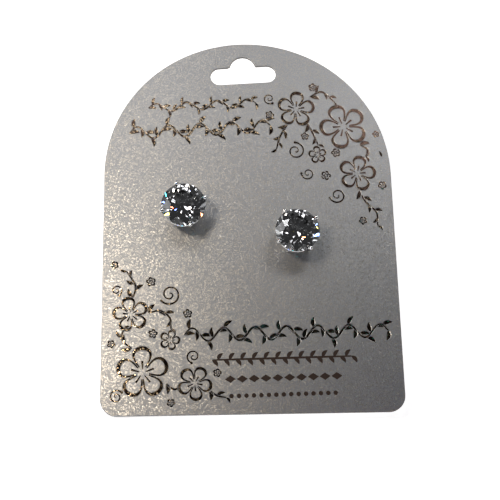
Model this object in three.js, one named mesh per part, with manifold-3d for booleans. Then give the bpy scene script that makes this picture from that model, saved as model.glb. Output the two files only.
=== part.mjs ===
// A pair of claw-set stud earrings with round brilliant stones, pushed through the arched hanging card
// that they are kept on. Behind the card a butterfly nut grips each post.
// Millimetres, +Z up. The card is drawn in its own frame: X to the right, Y up the card from its lower
// edge, Z out of its printed face, and its back on Z = 0. It is then laid down as it rests by itself on a
// table: on the tips of the two posts and on its lower left corner.
import * as THREE from "three";
import { mergeVertices } from "three/addons/utils/BufferGeometryUtils.js";
import { ConvexGeometry } from "three/addons/geometries/ConvexGeometry.js";
import Module from "manifold-3d";

const wasm = await Module();
wasm.setup();

const DEGREE = Math.PI / 180;
const SAME_POINT = 1e-4;

// Card: an upright rectangle with rounded lower corners, under a half circle as wide as itself.
const CARD_WIDTH = 54;
const CARD_HEIGHT = 72;
const CARD_THICKNESS = 0.5;
const CARD_CORNER_RADIUS = 3;
const CARD_ARCH_STEPS = 56;
const CARD_CORNER_STEPS = 8;

// Hanging slot: two round-ended arms with a round crown above, punched a little askew.
const SLOT_CENTRE_X = -0.5;
const SLOT_FLOOR_Y = 63.6;
const SLOT_LENGTH = 12.7;
const SLOT_ARM_HEIGHT = 3.5;
const SLOT_CROWN_RADIUS = 2.5;
const SLOT_CROWN_CENTRE = 3.1;
const SLOT_FILLETS = { left: 0.8, right: 0.2 };
const SLOT_TILT = 3.5 * DEGREE;
const SLOT_END_STEPS = 12;
const SLOT_CROWN_STEPS = 12;
const SLOT_FILLET_STEPS = 3;

// Stone: a round brilliant in the usual proportions.
const STONE_DIAMETER = 8;
const TABLE_SHARE = 0.57;
const CROWN_ANGLE = 34.5 * DEGREE;
const PAVILION_ANGLE = 40.75 * DEGREE;
const GIRDLE_THICKNESS = 0.2;
const STAR_REACH = 0.5;
const LOWER_HALF_REACH = 0.76;
const STONE_MAINS = 8;
const GIRDLE_HEIGHT = 4.9;
const SEAT_SCALE = 1.02;

// Setting: four claws and two rails, soldered to a foot and a post.
const CLAW_COUNT = 4;
const CLAW_WIRE_RADIUS = 0.42;
const CLAW_BEAD_RADIUS = 0.42;
const CLAW_BEND = [
  { out: 0.7, up: 0.35 },
  { out: 1.55, up: 0.6 },
  { out: 2.35, up: 1.3 },
  { out: 3.2, up: 2.9 },
  { out: 3.9, up: 4.4 },
  { out: 4.15, up: 5.3 },
];
const CLAW_SIDES = 8;
const CLAW_STEPS = 9;
const CLAW_BEAD_SIDES = 10;
const CLAW_BEAD_BANDS = 8;
const RAILS = [
  { ringRadius: 2.32, up: 1.25, wireRadius: 0.36 },
  { ringRadius: 3.42, up: 3.35, wireRadius: 0.36 },
];
const RAIL_SIDES = 6;
const RAIL_STEPS = 32;
const FOOT_RADIUS = 1.45;
const FOOT_THICKNESS = 0.5;
const FOOT_GAP = 0.05;

// Post and nut, behind the card.
const POST_RADIUS = 0.43;
const POST_REACH = 10;
const POST_SIDES = 16;
const POST_TIP_STEPS = 4;
const GROOVE_FROM_TIP = 2;
const GROOVE_LENGTH = 0.6;
const GROOVE_DEPTH = 0.08;
const POST_HOLE_RADIUS = 0.55;
const NUT_STRIP = 0.3;
const NUT_GAP = 0.08;
const NUT_LOOP_RADIUS = 1;
const NUT_LOOP_SWEEP = 270 * DEGREE;
const NUT_LOOP_STEPS = 18;
const NUT_HALF_LENGTH = 3.1;
const NUT_HALF_WIDTH = 1.95;
const NUT_HOLE_RADIUS = 0.5;
const ROUND_SIDES = 16;

// Where each stud goes through the card, and how far its claws are turned.
const STUDS = [
  { name: "left", x: -12.2, y: 37.3, clawTurn: -27.5 * DEGREE, stoneTurn: 8 * DEGREE },
  { name: "right", x: 8.3, y: 32.3, clawTurn: -12.4 * DEGREE, stoneTurn: -5 * DEGREE },
];

const CARD_PAPER = new THREE.MeshStandardMaterial({ color: 0x9a9896, roughness: 0.45, metalness: 0.3 });
const SILVER_PLATE = new THREE.MeshStandardMaterial({ color: 0xd8d9db, roughness: 0.15, metalness: 1 });
const CLEAR_STONE = new THREE.MeshStandardMaterial({ color: 0xe9eef2, roughness: 0.02, metalness: 0 });

// A closed geometry as a solid that can be joined and cut.
function solidOf(geometry) {
  const bare = new THREE.BufferGeometry();
  bare.setAttribute("position", geometry.getAttribute("position"));
  bare.setIndex(geometry.index);
  const merged = mergeVertices(bare, SAME_POINT);
  return new wasm.Manifold(
    new wasm.Mesh({
      numProp: 3,
      vertProperties: merged.attributes.position.array,
      triVerts: new Uint32Array(merged.index.array),
    }),
  );
}

// A solid as a geometry again.
function geometryOf(solid) {
  const mesh = solid.getMesh();
  const geometry = new THREE.BufferGeometry();
  geometry.setAttribute("position", new THREE.BufferAttribute(mesh.vertProperties, 3));
  geometry.setIndex(new THREE.BufferAttribute(mesh.triVerts, 1));
  geometry.computeVertexNormals();
  return geometry;
}

function join(geometries) {
  return geometries.map(solidOf).reduce((whole, piece) => whole.add(piece));
}

// A profile of (radius, height) points turned about the Z axis.
function turned(profile, sides) {
  return new THREE.LatheGeometry(profile, sides).rotateX(Math.PI / 2);
}

// A point at a distance from the Z axis, in a direction and at a height.
function polar(radius, angle, height) {
  return new THREE.Vector3(radius * Math.cos(angle), radius * Math.sin(angle), height);
}

// Points along an arc, which runs clockwise where it ends at a smaller angle than it starts at.
function arc(x, y, radius, from, to, steps) {
  return new THREE.EllipseCurve(x, y, radius, radius, from, to, to < from).getPoints(steps);
}

function cardOutline() {
  const half = CARD_WIDTH / 2;
  const r = CARD_CORNER_RADIUS;
  return new THREE.Shape([
    ...arc(-half + r, r, r, Math.PI, 1.5 * Math.PI, CARD_CORNER_STEPS),
    ...arc(half - r, r, r, -Math.PI / 2, 0, CARD_CORNER_STEPS),
    ...arc(0, CARD_HEIGHT - half, half, 0, Math.PI, CARD_ARCH_STEPS),
  ]);
}

// The rounded corner between an arm of the slot and its crown, on the right-hand side.
function crownFillet(radius) {
  const y = SLOT_ARM_HEIGHT + radius;
  const x = Math.sqrt((SLOT_CROWN_RADIUS + radius) ** 2 - (y - SLOT_CROWN_CENTRE) ** 2);
  const lean = Math.atan2(y - SLOT_CROWN_CENTRE, x);
  return { lean, points: arc(x, y, radius, -Math.PI / 2, lean - Math.PI, SLOT_FILLET_STEPS) };
}

// The slot's outline in a frame of its own: along the arms, and up from their floor.
function slotPoints() {
  const end = SLOT_ARM_HEIGHT / 2;
  const reach = SLOT_LENGTH / 2 - end;
  const right = crownFillet(SLOT_FILLETS.right);
  const left = crownFillet(SLOT_FILLETS.left);
  const leftPoints = left.points.map((p) => new THREE.Vector2(-p.x, p.y)).reverse();
  const crown = arc(
    0, SLOT_CROWN_CENTRE, SLOT_CROWN_RADIUS, right.lean, Math.PI - left.lean, SLOT_CROWN_STEPS,
  );
  return [
    ...arc(reach, end, end, -Math.PI / 2, Math.PI / 2, SLOT_END_STEPS),
    ...right.points,
    ...crown.slice(1, -1),
    ...leftPoints,
    ...arc(-reach, end, end, Math.PI / 2, 1.5 * Math.PI, SLOT_END_STEPS),
  ];
}

function hangingSlot() {
  const origin = new THREE.Vector2(0, 0);
  const place = new THREE.Vector2(SLOT_CENTRE_X, SLOT_FLOOR_Y);
  return new THREE.Path(slotPoints().map((p) => p.rotateAround(origin, SLOT_TILT).add(place)));
}

function postHole(stud) {
  return new THREE.Path(arc(stud.x, stud.y, POST_HOLE_RADIUS, 0, 2 * Math.PI, POST_SIDES));
}

function cardGeometry() {
  const outline = cardOutline();
  outline.holes = [hangingSlot(), ...STUDS.map(postHole)];
  return new THREE.ExtrudeGeometry(outline, { depth: CARD_THICKNESS, bevelEnabled: false });
}

// The brilliant is the hull of its corners. Its middle is at the middle of the girdle.
function stoneGeometry() {
  const radius = STONE_DIAMETER / 2;
  const tableRadius = TABLE_SHARE * radius;
  const step = (2 * Math.PI) / STONE_MAINS;
  const rim = GIRDLE_THICKNESS / 2;
  const flat = Math.cos(step / 2);
  const crownHeight = (out) => rim + (radius - out) * Math.tan(CROWN_ANGLE);
  const pavilionHeight = (out) => -rim - (radius - out) * Math.tan(PAVILION_ANGLE);
  const starRadius = THREE.MathUtils.lerp(tableRadius * flat, radius, STAR_REACH);
  const lowerRadius = radius * (1 - LOWER_HALF_REACH);
  const corners = [polar(0, 0, pavilionHeight(0))];
  for (let k = 0; k < STONE_MAINS; k++) {
    const main = k * step;
    const between = main + step / 2;
    corners.push(polar(tableRadius, main, crownHeight(tableRadius)));
    corners.push(polar(starRadius, between, crownHeight(starRadius * flat)));
    corners.push(polar(lowerRadius, between, pavilionHeight(lowerRadius * flat)));
    for (const angle of [main, between]) {
      corners.push(polar(radius, angle, rim), polar(radius, angle, -rim));
    }
  }
  return new ConvexGeometry(corners);
}

// One claw: a bent wire from the foot up to the girdle, with a round bead over the stone's edge.
function clawGeometries(angle) {
  const bend = new THREE.CatmullRomCurve3(CLAW_BEND.map((p) => polar(p.out, angle, p.up)));
  const section = new THREE.Shape().absarc(0, 0, CLAW_WIRE_RADIUS, 0, 2 * Math.PI, false);
  const wire = new THREE.ExtrudeGeometry(section, {
    curveSegments: CLAW_SIDES / 2,
    steps: CLAW_STEPS,
    extrudePath: bend,
  });
  const tip = bend.getPoint(1);
  const bead = new THREE.SphereGeometry(CLAW_BEAD_RADIUS, CLAW_BEAD_SIDES, CLAW_BEAD_BANDS);
  bead.translate(tip.x, tip.y, tip.z);
  return [wire, bead];
}

function railGeometry(rail) {
  return new THREE.TorusGeometry(rail.ringRadius, rail.wireRadius, RAIL_SIDES, RAIL_STEPS)
    .translate(0, 0, rail.up);
}

// The post, from its round tip behind the card up into the foot, with the groove that the nut snaps into.
function postGeometry() {
  const tip = -CARD_THICKNESS - POST_REACH;
  const grooveTop = tip + GROOVE_FROM_TIP + GROOVE_LENGTH;
  const profile = [];
  for (let i = 0; i <= POST_TIP_STEPS; i++) {
    const turn = (i / POST_TIP_STEPS) * (Math.PI / 2);
    profile.push(new THREE.Vector2(
      POST_RADIUS * Math.sin(turn),
      tip + POST_RADIUS * (1 - Math.cos(turn)),
    ));
  }
  profile.push(new THREE.Vector2(POST_RADIUS, tip + GROOVE_FROM_TIP));
  profile.push(new THREE.Vector2(POST_RADIUS - GROOVE_DEPTH, tip + GROOVE_FROM_TIP + GROOVE_LENGTH / 3));
  profile.push(new THREE.Vector2(POST_RADIUS - GROOVE_DEPTH, grooveTop - GROOVE_LENGTH / 3));
  profile.push(new THREE.Vector2(POST_RADIUS, grooveTop));
  profile.push(new THREE.Vector2(POST_RADIUS, FOOT_GAP + FOOT_THICKNESS / 2));
  profile.push(new THREE.Vector2(0, FOOT_GAP + FOOT_THICKNESS / 2));
  return turned(profile, POST_SIDES);
}

function footGeometry() {
  return new THREE.CylinderGeometry(FOOT_RADIUS, FOOT_RADIUS, FOOT_THICKNESS, ROUND_SIDES)
    .rotateX(Math.PI / 2)
    .translate(0, 0, FOOT_GAP + FOOT_THICKNESS / 2);
}

// The whole setting, up from the card's face. The claws are notched where the stone's girdle sits.
function settingGeometry(stud) {
  const pieces = [footGeometry(), postGeometry(), ...RAILS.map(railGeometry)];
  for (let k = 0; k < CLAW_COUNT; k++) {
    pieces.push(...clawGeometries(stud.clawTurn + ((k + 0.5) * 2 * Math.PI) / CLAW_COUNT));
  }
  const seat = stoneGeometry().scale(SEAT_SCALE, SEAT_SCALE, SEAT_SCALE);
  seat.rotateZ(stud.stoneTurn).translate(0, 0, GIRDLE_HEIGHT);
  return geometryOf(join(pieces).subtract(solidOf(seat)));
}

// The nut's strip seen from its side: flat across the post, and curled back to it in a loop at each end.
function nutOutline() {
  const loopX = POST_RADIUS + NUT_GAP + NUT_STRIP / 2 + NUT_LOOP_RADIUS;
  const side = (offset) => {
    const points = [];
    for (let i = 0; i <= NUT_LOOP_STEPS; i++) {
      const turn = Math.PI / 2 - (i / NUT_LOOP_STEPS) * NUT_LOOP_SWEEP;
      const reach = NUT_LOOP_RADIUS + offset;
      points.push(new THREE.Vector2(loopX + reach * Math.cos(turn), reach * Math.sin(turn)));
    }
    return points;
  };
  const outer = side(NUT_STRIP / 2);
  const inner = side(-NUT_STRIP / 2);
  const mirrored = (points) => points.map((p) => new THREE.Vector2(-p.x, p.y));
  return new THREE.Shape([
    ...outer,
    ...inner.slice().reverse(),
    ...mirrored(inner),
    ...mirrored(outer).reverse(),
  ]);
}

// The butterfly nut, below the card's back, with its corners rounded off and a hole for the post.
function nutGeometry() {
  const strip = new THREE.ExtrudeGeometry(nutOutline(), {
    depth: 2 * NUT_HALF_WIDTH,
    bevelEnabled: false,
  });
  strip.translate(0, 0, -NUT_HALF_WIDTH).rotateX(Math.PI / 2);
  const deep = 4 * NUT_LOOP_RADIUS;
  const oval = new THREE.CylinderGeometry(1, 1, deep, 2 * ROUND_SIDES)
    .rotateX(Math.PI / 2)
    .scale(NUT_HALF_LENGTH, NUT_HALF_WIDTH, 1);
  const bore = new THREE.CylinderGeometry(NUT_HOLE_RADIUS, NUT_HOLE_RADIUS, deep, ROUND_SIDES)
    .rotateX(Math.PI / 2);
  const nut = solidOf(strip).intersect(solidOf(oval)).subtract(solidOf(bore));
  const top = NUT_LOOP_RADIUS + NUT_STRIP / 2;
  return geometryOf(nut).translate(0, 0, -top - NUT_GAP);
}

function named(name, geometry, material) {
  const mesh = new THREE.Mesh(geometry, material);
  mesh.name = name;
  return mesh;
}

function studGroup(stud) {
  const group = new THREE.Group();
  const setting = named(stud.name + "_setting", settingGeometry(stud), SILVER_PLATE);
  const stone = named(stud.name + "_stone", stoneGeometry(), CLEAR_STONE);
  const nut = named(stud.name + "_ear_nut", nutGeometry(), SILVER_PLATE);
  stone.rotation.z = stud.stoneTurn;
  stone.position.z = GIRDLE_HEIGHT;
  nut.position.z = -CARD_THICKNESS;
  group.add(setting, stone, nut);
  group.position.set(stud.x, stud.y, CARD_THICKNESS);
  return group;
}

// The table's upward direction in the card's frame, when both post tips and the lower left corner touch it.
function tableNormal() {
  const [left, right] = STUDS.map((s) => new THREE.Vector2(s.x, s.y));
  const alongTips = right.clone().sub(left).normalize();
  const uphill = new THREE.Vector2(-alongTips.y, alongTips.x);
  const cornerCentre = new THREE.Vector2(-CARD_WIDTH / 2 + CARD_CORNER_RADIUS, CARD_CORNER_RADIUS);
  const run = uphill.dot(left.clone().sub(cornerCentre)) + CARD_CORNER_RADIUS;
  const drop = POST_REACH - POST_RADIUS;
  const lean = Math.atan2(drop, run) + Math.asin(POST_RADIUS / Math.hypot(run, drop));
  return new THREE.Vector3(uphill.x * Math.sin(lean), uphill.y * Math.sin(lean), Math.cos(lean));
}

// Lays the card down, with its lower edge along X and the middle of its footprint on the origin.
function layDown(group) {
  const up = tableNormal();
  const along = new THREE.Vector3(1, 0, 0).projectOnPlane(up).normalize();
  const away = new THREE.Vector3().crossVectors(up, along);
  const turn = new THREE.Matrix4().makeBasis(along, away, up).transpose();
  group.quaternion.setFromRotationMatrix(turn);
  group.updateMatrixWorld(true);
  const box = new THREE.Box3().setFromObject(group, true);
  const middle = box.getCenter(new THREE.Vector3());
  group.position.set(-middle.x, -middle.y, -box.min.z);
}

const cardedStuds = new THREE.Group();
cardedStuds.add(named("display_card", cardGeometry(), CARD_PAPER), ...STUDS.map(studGroup));
layDown(cardedStuds);

export default cardedStuds;
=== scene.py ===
# %% [markdown]
# # A pair of claw-set studs on their display card
#
# The real thing is a small arched card, punched with a hanging slot. Two stud earrings are pushed through
# it, and a butterfly nut behind the card grips each post. Each stud is a round brilliant held by four
# claws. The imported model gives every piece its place, so the lesson starts by reading it.

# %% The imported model
import math

import bmesh
import bpy
from mathutils import Matrix, Vector


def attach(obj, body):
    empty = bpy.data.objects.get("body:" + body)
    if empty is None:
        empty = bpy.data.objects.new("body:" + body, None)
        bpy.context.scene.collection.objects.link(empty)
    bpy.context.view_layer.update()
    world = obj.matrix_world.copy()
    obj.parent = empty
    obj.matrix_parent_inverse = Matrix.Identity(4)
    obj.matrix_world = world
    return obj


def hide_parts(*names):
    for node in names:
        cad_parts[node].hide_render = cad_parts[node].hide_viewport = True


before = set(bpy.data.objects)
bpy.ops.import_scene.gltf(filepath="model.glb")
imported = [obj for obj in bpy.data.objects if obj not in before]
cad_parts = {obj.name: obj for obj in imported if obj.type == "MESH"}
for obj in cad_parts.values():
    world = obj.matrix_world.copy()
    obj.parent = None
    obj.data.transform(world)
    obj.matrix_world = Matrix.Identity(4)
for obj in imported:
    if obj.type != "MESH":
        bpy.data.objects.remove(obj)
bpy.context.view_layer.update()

scene = bpy.context.scene
print("nodes:", sorted(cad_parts))

# %% [markdown]
# ## The card's own frame
#
# The card leans on the tips of the posts, so nothing on it is level. It is far easier to draw in a frame
# that lies in the card: X to the right, Y up the card from its lower edge, Z out of its printed face, in
# millimetres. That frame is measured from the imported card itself: its printed face gives Z, and its edges
# give the rest. One matrix then takes every finished mesh to its real place.

# %% Measure the card's frame
MM = 0.001
LOOKS_UP = 0.9


def printed_normal(mesh):
    """The mean direction of the faces that look up, weighted by their area."""
    total = Vector()
    for face in mesh.polygons:
        if face.normal.z > LOOKS_UP:
            total += face.normal * face.area
    return total.normalized()


card_z = printed_normal(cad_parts["display_card"].data)
card_x = Vector((card_z.z, 0, -card_z.x)).normalized()
card_y = card_z.cross(card_x)
card_turn = Matrix((card_x, card_y, card_z)).transposed()


def reach(node):
    """The lowest and highest corner of a node along the card's axes, in metres."""
    points = [card_turn.transposed() @ v.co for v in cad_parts[node].data.vertices]
    low = Vector([min(p[i] for p in points) for i in range(3)])
    high = Vector([max(p[i] for p in points) for i in range(3)])
    return low, high


card_low, card_high = reach("display_card")
card_start = Vector(((card_low.x + card_high.x) / 2, card_low.y, card_low.z))
card_to_row = Matrix.Translation(card_turn @ card_start) @ card_turn.to_4x4() @ Matrix.Scale(MM, 4)
CARD_WIDTH, CARD_HEIGHT, CARD_THICKNESS = (card_high - card_low) / MM
print(f"card {CARD_WIDTH:.2f} x {CARD_HEIGHT:.2f} x {CARD_THICKNESS:.2f} mm")

# %% Where each stud stands, and how wide its stone is
SIDES = ("left", "right")
stud_places = {}
for side in SIDES:
    low, high = reach(f"{side}_stone")
    middle = ((low + high) / 2 - card_start) / MM
    stud_places[side] = Vector((middle.x, middle.y, CARD_THICKNESS))
    print(f"{side} stud at x {middle.x:.2f}, y {middle.y:.2f} mm, stone {(high.x - low.x) / MM:.2f} mm wide")

# %% [markdown]
# ## The camera
#
# The photograph was taken from above the card's lower half, a hand's length away. The three turns and the
# distance below put a 72 mm lens in the same place. They are given in the card's frame, because the
# camera's angle to the card is what the picture shows.

# %% Place the camera
CAMERA_LENS = 72
CAMERA_TURNS = {"Z": 1.33, "X": -16.27, "Y": 3.11}
CARD_FROM_CAMERA = Vector((0.76, -28.84, -175.61))


def camera_matrix():
    """The camera's place and turn in the card's frame."""
    turn = Matrix.Identity(3)
    for axis, degrees in CAMERA_TURNS.items():
        turn = turn @ Matrix.Rotation(math.radians(degrees), 3, axis)
    place = Vector((0, 0, CARD_THICKNESS)) - turn.transposed() @ CARD_FROM_CAMERA
    return Matrix.Translation(place) @ turn.transposed().to_4x4()


camera_data = bpy.data.cameras.new("camera")
camera_data.lens = CAMERA_LENS
camera_data.clip_start = 0.01
camera = bpy.data.objects.new("camera", camera_data)
scene.collection.objects.link(camera)
place, turn, _ = (card_to_row @ camera_matrix()).decompose()
camera.matrix_world = Matrix.Translation(place) @ turn.to_matrix().to_4x4()
scene.camera = camera
print("camera is", round(camera.location.z / MM), "mm above the floor")

# %% [markdown]
# ## The light
#
# Three soft lamps light the card. The warm key lamp hangs on the left, near enough that the pearly card is
# bright beside it and dark in the far corner, and it casts the studs' shadows to the right. The far lamp,
# beyond the arch, and the side lamp, beyond its right shoulder, are larger, cooler and weaker, and they
# lift the rest. The room overhead is dim, which gives the silver and the stones their black facets. Round
# the card hang ten panels. Each facet of a stone sees its own small patch of the room, so a bright panel
# becomes a few white facets and a dim one becomes grey facets. Eight very small tinted lamps stand for the
# colours that a stone splits white light into: they are too weak to tint the card, and only a facet that
# looks at one shows it.

# %% How a lamp is hung
WARM_WHITE = (1, 0.91, 0.79)
NEUTRAL_WHITE = (0.99, 0.99, 1)
card_middle = Vector((0, CARD_HEIGHT / 2, CARD_THICKNESS))


def around(bearing, rise, distance):
    """A point round the middle of the card, by its bearing from X and its rise above the card, in degrees."""
    bearing, rise = math.radians(bearing), math.radians(rise)
    flat = distance * math.cos(rise)
    away = Vector((flat * math.cos(bearing), flat * math.sin(bearing), distance * math.sin(rise)))
    return card_middle + away


def hang_lamp(name, place, width, radiance, colour=NEUTRAL_WHITE):
    """A round lamp that looks at the middle of the card. Its place is in the card's frame."""
    data = bpy.data.lights.new(name, "AREA")
    data.shape = "DISK"
    data.size = width * MM
    data.energy = radiance * math.pi * (math.pi / 4) * width * width * MM * MM
    data.color = colour
    lamp = bpy.data.objects.new(name, data)
    scene.collection.objects.link(lamp)
    start = card_to_row @ place
    aim = (card_to_row @ card_middle) - start
    lamp.matrix_world = Matrix.Translation(start) @ aim.to_track_quat("-Z", "Y").to_matrix().to_4x4()


# %% Hang the three soft lamps
KEY_DISTANCE = 212
LAMP_DISTANCE = 260
hang_lamp("key lamp", around(168, 62, KEY_DISTANCE), 40, 44, WARM_WHITE)
hang_lamp("far lamp", around(112, 52, LAMP_DISTANCE), 110, 2.9)
hang_lamp("side lamp", around(57, 53, LAMP_DISTANCE), 90, 5.0)

# %% Hang the panels
# Each row is a bearing, a rise, a width and a radiance.
PANELS = [
    (129, 40, 28, 6),
    (157, 40, 28, 6),
    (203, 40, 34, 5),
    (318, 33, 36, 6),
    (51, 19, 64, 6),
    (144, 54, 44, 1.2),
    (206, 19, 64, 1.5),
    (157, 26, 36, 1.5),
    (169, 19, 36, 1.5),
    (208, 68, 36, 1.5),
]
for number, (bearing, rise, width, radiance) in enumerate(PANELS):
    hang_lamp(f"panel {number}", around(bearing, rise, LAMP_DISTANCE), width, radiance)

# %% Hang the sparks
# Each row is a bearing, a rise, a width and a colour.
SPARK_DISTANCE = 250
SPARK_RADIANCE = 12
SPARKS = [
    (260, 20, 16, (0.05, 0.85, 1.0)),
    (54, 82, 5.5, (0.05, 0.85, 1.0)),
    (257, 41, 16, (0.15, 0.25, 1.0)),
    (310, 70, 14, (0.2, 0.3, 1.0)),
    (244, 21, 16, (0.2, 0.35, 1.0)),
    (289, 50, 10, (1.0, 0.8, 0.15)),
    (286, 46, 12, (1.0, 0.2, 0.1)),
    (305, 64, 10, (1.0, 0.35, 0.15)),
]
for number, (bearing, rise, width, colour) in enumerate(SPARKS):
    hang_lamp(f"spark {number}", around(bearing, rise, SPARK_DISTANCE), width, SPARK_RADIANCE, colour)

# %% [markdown]
# ## Small tools for node trees
#
# Geometry and shader trees are built the same way, so one helper adds a node, sets its options, and wires
# or fills its inputs. Another starts a group with named inputs and outputs.

# %% Helpers for node trees
def add(tree, kind, wires=None, **options):
    """Adds a node. Wires maps an input's name or number to a socket to link from, or to a plain value."""
    node = tree.nodes.new(kind)
    for option, value in options.items():
        setattr(node, option, value)
    for name, value in (wires or {}).items():
        if isinstance(value, bpy.types.NodeSocket):
            tree.links.new(value, node.inputs[name])
        else:
            node.inputs[name].default_value = value
    return node


def calculate(tree, operation, *values):
    """A Math node's result."""
    return add(tree, "ShaderNodeMath", dict(enumerate(values)), operation=operation).outputs[0]


def vector_math(tree, operation, *values):
    """A Vector Math node's result."""
    return add(tree, "ShaderNodeVectorMath", dict(enumerate(values)), operation=operation).outputs[0]


def blend_colours(tree, factor, first, second):
    """The colour between two others. A Mix node keeps its colour inputs at numbers 6 and 7."""
    return add(tree, "ShaderNodeMix", {0: factor, 6: first, 7: second}, data_type="RGBA").outputs[2]


SOCKET_KINDS = {bool: "Bool", int: "Int", float: "Float", tuple: "Color"}


def new_group(name, kind, inputs, outputs):
    """An empty node group with its input and output nodes.

    Each input has a name and a starting value, or the kind of a socket that starts empty.
    """
    tree = bpy.data.node_groups.new(name, kind)
    for label, value in inputs.items():
        empty = isinstance(value, str)
        socket_kind = "NodeSocket" + (value if empty else SOCKET_KINDS[type(value)])
        socket = tree.interface.new_socket(label, in_out="INPUT", socket_type=socket_kind)
        if not empty:
            socket.default_value = value
    for label, value in outputs.items():
        tree.interface.new_socket(label, in_out="OUTPUT", socket_type="NodeSocket" + value)
    return tree, tree.nodes.new("NodeGroupInput").outputs, tree.nodes.new("NodeGroupOutput").inputs


# %% [markdown]
# ## The room
#
# The room has grey walls and a dark ceiling, so it is lighter near the floor than overhead. A world shader
# gives each direction its own light, and here only the direction's height counts.

# %% Light the walls and dim the ceiling
WALL_LIGHT = 0.5
CEILING_LIGHT = 0.03
WALL_TOP = math.sin(math.radians(24))
ROOM_COLOUR = (0.97, 0.98, 1.0, 1)


def room_world():
    """A world that is light up to the walls' top and dim above it."""
    world = bpy.data.worlds.new("room")
    world.use_nodes = True
    tree = world.node_tree
    direction = tree.nodes.new("ShaderNodeTexCoord").outputs["Generated"]
    height = add(tree, "ShaderNodeSeparateXYZ", {0: direction}).outputs["Z"]
    light = add(tree, "ShaderNodeMapRange", {"Value": height, "From Max": WALL_TOP, "To Min": WALL_LIGHT,
                                             "To Max": CEILING_LIGHT}, interpolation_type="SMOOTHSTEP")
    background = tree.nodes["Background"]
    background.inputs["Color"].default_value = ROOM_COLOUR
    tree.links.new(light.outputs[0], background.inputs["Strength"])
    return world


scene.world = room_world()
scene.view_settings.view_transform = "Standard"
print("light of the walls", WALL_LIGHT, "and of the ceiling", CEILING_LIGHT)

# %% [markdown]
# ## Finishes that are shared
#
# Three effects are used by more than one material, so each is a shader node group. Pearl flakes are tiny
# mirrors in a coating, each tilted its own way: a Voronoi cell is one flake, and its random colour tilts
# the surface there, so that some flakes face the lamp and flash. Fine wear is the web of hairlines on
# polished metal, which makes its gloss uneven. Paper fibre is the short streaky grain of uncoated card.

# %% Pearl flakes
CALM = 0.15


def pearl_flakes():
    """A share of the cells are flakes, which tilt fully. The ground between them tilts far less."""
    tree, given, result = new_group(
        "Pearl flakes", "ShaderNodeTree",
        {"Vector": "Vector", "Flake Size": 0.0003, "Tilt": 0.2, "Share": 0.5},
        {"Flake": "Float", "Tone": "Float", "Normal": "Vector"},
    )
    scale = calculate(tree, "DIVIDE", 1.0, given["Flake Size"])
    cells = add(tree, "ShaderNodeTexVoronoi", {"Vector": given["Vector"], "Scale": scale})
    chance = add(tree, "ShaderNodeSeparateColor", {"Color": cells.outputs["Color"]})
    either_way = vector_math(tree, "SUBTRACT", cells.outputs["Color"], (0.5, 0.5, 0.5))
    flake = calculate(tree, "LESS_THAN", chance.outputs["Red"], given["Share"])
    stirred = calculate(tree, "MULTIPLY_ADD", flake, 1 - CALM, CALM)
    tilt = calculate(tree, "MULTIPLY", stirred, given["Tilt"])
    lean = add(tree, "ShaderNodeVectorMath", {0: either_way, "Scale": tilt}, operation="SCALE")
    surface = tree.nodes.new("ShaderNodeNewGeometry")
    leaning = vector_math(tree, "ADD", surface.outputs["Normal"], lean.outputs[0])
    tree.links.new(flake, result["Flake"])
    tree.links.new(chance.outputs["Green"], result["Tone"])
    tree.links.new(vector_math(tree, "NORMALIZE", leaning), result["Normal"])
    return tree


pearl_group = pearl_flakes()

# %% Fine wear
SCRATCH_STRETCH = (1, 0.15, 0.6)
WEAR_PATCHES = 900
WEAR_RANGE = (0.15, 0.4)


def fine_wear():
    """Stretched noise for the hairlines, times broad noise for the patches where they lie."""
    tree, given, result = new_group(
        "Fine wear", "ShaderNodeTree",
        {"Vector": "Vector", "Scratch Size": 0.0004, "Smoothest": 0.05, "Dullest": 0.2},
        {"Roughness": "Float", "Height": "Float"},
    )
    scale = calculate(tree, "DIVIDE", 1.0, given["Scratch Size"])
    stretched = vector_math(tree, "MULTIPLY", given["Vector"], SCRATCH_STRETCH)
    lines = add(tree, "ShaderNodeTexNoise", {"Vector": stretched, "Scale": scale, "Detail": 4})
    patches = add(tree, "ShaderNodeTexNoise", {"Vector": given["Vector"], "Scale": WEAR_PATCHES, "Detail": 2})
    worn = calculate(tree, "MULTIPLY", lines.outputs[0], patches.outputs[0])
    roughness = add(tree, "ShaderNodeMapRange", {
        "Value": worn, "From Min": WEAR_RANGE[0], "From Max": WEAR_RANGE[1],
        "To Min": given["Smoothest"], "To Max": given["Dullest"]})
    tree.links.new(roughness.outputs[0], result["Roughness"])
    tree.links.new(lines.outputs[0], result["Height"])
    return tree


wear_group = fine_wear()

# %% Paper fibre
def paper_fibre():
    """A bent, fine noise, as a colour between two tones and as a height."""
    tree, given, result = new_group(
        "Paper fibre", "ShaderNodeTree",
        {"Vector": "Vector", "Fibre Size": 0.0003, "Light": (0.8, 0.8, 0.8, 1), "Dark": (0.6, 0.6, 0.6, 1)},
        {"Color": "Color", "Height": "Float"},
    )
    scale = calculate(tree, "DIVIDE", 1.0, given["Fibre Size"])
    fibres = add(tree, "ShaderNodeTexNoise", {"Vector": given["Vector"], "Scale": scale, "Detail": 6,
                                              "Distortion": 1.5})
    tree.links.new(blend_colours(tree, fibres.outputs[0], given["Dark"], given["Light"]), result["Color"])
    tree.links.new(fibres.outputs[0], result["Height"])
    return tree


fibre_group = paper_fibre()
print("shared groups:", [g.name for g in (pearl_group, wear_group, fibre_group)])

# %% Start a material, and use a shared group in it
def new_material(name, **plain):
    """A material with its tree, the inputs of its one Principled shader, and its coordinates."""
    material = bpy.data.materials.new(name)
    material.use_nodes = True
    tree = material.node_tree
    shader = tree.nodes["Principled BSDF"].inputs
    for label, value in plain.items():
        shader[label.replace("_", " ")].default_value = value
    return material, tree, shader, tree.nodes.new("ShaderNodeTexCoord").outputs["Object"]


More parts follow.
